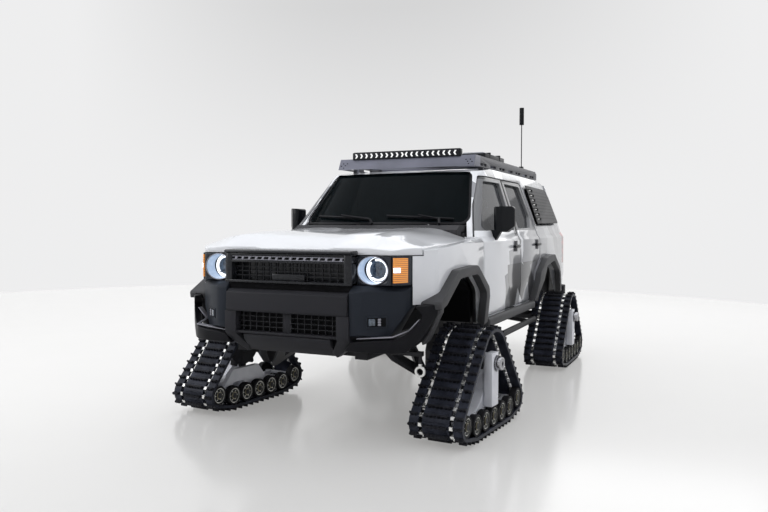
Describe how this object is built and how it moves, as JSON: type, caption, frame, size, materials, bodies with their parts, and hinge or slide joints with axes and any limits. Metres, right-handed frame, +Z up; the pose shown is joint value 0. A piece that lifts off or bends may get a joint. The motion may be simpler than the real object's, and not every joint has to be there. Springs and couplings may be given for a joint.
{
  "type": "tracked suv",
  "caption": "Off-road estate car with a boxy hollow cab and roof rack, standing on triangular rubber track units in place of its wheels.",
  "frame": {"origin": "on the ground, on the centreline, half-way along the car", "axes": "+Z up, front faces -Y, the car's left is +X"},
  "size_m": [2.449, 4.92, 2.6805],
  "materials": {
    "body_paint": "white clear-coated paint with a grey camouflage pattern on the sides",
    "side_glass": "tinted safety glass",
    "bumper_plastic": "satin dark grey moulded plastic",
    "cladding_plastic": "fine-grained dark grey plastic",
    "lamp_lens": "clear and coloured lamp lenses",
    "black_steel": "black powder-coated steel",
    "mirror_plastic": "black plastic",
    "floor_metal": "dark pressed steel with carpet",
    "seat_cloth": "dark woven cloth",
    "dash_plastic": "soft dark moulded plastic",
    "engine_iron": "plain cast metal",
    "track_rubber": "black moulded rubber with steel clips",
    "cast_silver": "satin silver-painted casting",
    "black_hub": "black moulded wheels with metal caps"
  },
  "bodies": {
    "body": {"antenna": "black_steel", "arch_flares": "cladding_plastic", "arch_liners": "cladding_plastic", "body_sides": "body_paint", "chassis_frame": "black_steel", "cowl": "cladding_plastic", "dashboard": "dash_plastic", "engine_block": "engine_iron", "fenders": "body_paint", "floor_pan": "floor_metal", "front_bumper": "bumper_plastic", "grille": "bumper_plastic", "headlamps": "lamp_lens", "light_bar": "black_steel", "quarter_glass": "side_glass", "rear_axle": "black_steel", "rear_bumper": "bumper_plastic", "rear_rollers": "black_hub", "rear_sprockets": "black_hub", "rear_track_frames": "cast_silver", "rear_tracks": "track_rubber", "roof_panel": "body_paint", "roof_rack": "black_steel", "seats": "seat_cloth", "side_cladding": "cladding_plastic", "side_steps": "black_steel", "suspension_arms": "black_steel", "tail_lamps": "lamp_lens", "tow_eye": "black_steel", "window_panels": "black_steel", "windscreen": "side_glass"},
    "left_steered_track": {"front_track_left": "track_rubber", "track_frame_left": "cast_silver", "sprocket_left": "black_hub", "rollers_left": "black_hub", "knuckle_left": "black_steel"},
    "right_steered_track": {"front_track_right": "track_rubber", "track_frame_right": "cast_silver", "sprocket_right": "black_hub", "rollers_right": "black_hub", "knuckle_right": "black_steel"},
    "front_left_door": {"front_door_left": "body_paint", "front_glass_left": "side_glass", "mirror_left": "mirror_plastic"},
    "front_right_door": {"front_door_right": "body_paint", "front_glass_right": "side_glass", "mirror_right": "mirror_plastic"},
    "rear_left_door": {"rear_door_left": "body_paint", "rear_glass_left": "side_glass"},
    "rear_right_door": {"rear_door_right": "body_paint", "rear_glass_right": "side_glass"},
    "bonnet_lid": {"bonnet": "body_paint"},
    "tailgate_lid": {"tailgate": "body_paint", "tailgate_glass": "side_glass"}
  },
  "joints": [
    {"name": "steer_left", "type": "hinge", "parent": "body", "child": "left_steered_track", "pos_m": [0.7, -1.56, 0.485], "axis": [0, 0, 1], "range_deg": [-15, 25]},
    {"name": "steer_right", "type": "hinge", "parent": "body", "child": "right_steered_track", "pos_m": [-0.7, -1.56, 0.485], "axis": [0, 0, 1], "range_deg": [-15, 25]},
    {"name": "front_door_left", "type": "hinge", "parent": "body", "child": "front_left_door", "pos_m": [0.915, -1.04, 1], "axis": [0, 0, -1], "range_deg": [0, 65]},
    {"name": "front_door_right", "type": "hinge", "parent": "body", "child": "front_right_door", "pos_m": [-0.915, -1.04, 1], "axis": [0, 0, 1], "range_deg": [0, 65]},
    {"name": "rear_door_left", "type": "hinge", "parent": "body", "child": "rear_left_door", "pos_m": [0.915, 0.08, 1], "axis": [0, 0, -1], "range_deg": [0, 65]},
    {"name": "rear_door_right", "type": "hinge", "parent": "body", "child": "rear_right_door", "pos_m": [-0.915, 0.08, 1], "axis": [0, 0, 1], "range_deg": [0, 65]},
    {"name": "bonnet_hinge", "type": "hinge", "parent": "body", "child": "bonnet_lid", "pos_m": [0, -1.07, 1.36], "axis": [-1, 0, 0], "range_deg": [0, 50]},
    {"name": "tailgate_hinge", "type": "hinge", "parent": "body", "child": "tailgate_lid", "pos_m": [0, 2.13, 1.918], "axis": [1, 0, 0], "range_deg": [0, 80]}
  ],
  "couplings": [
    {"joint": "steer_right", "follows": "steer_left", "ratio": 1}
  ]
}
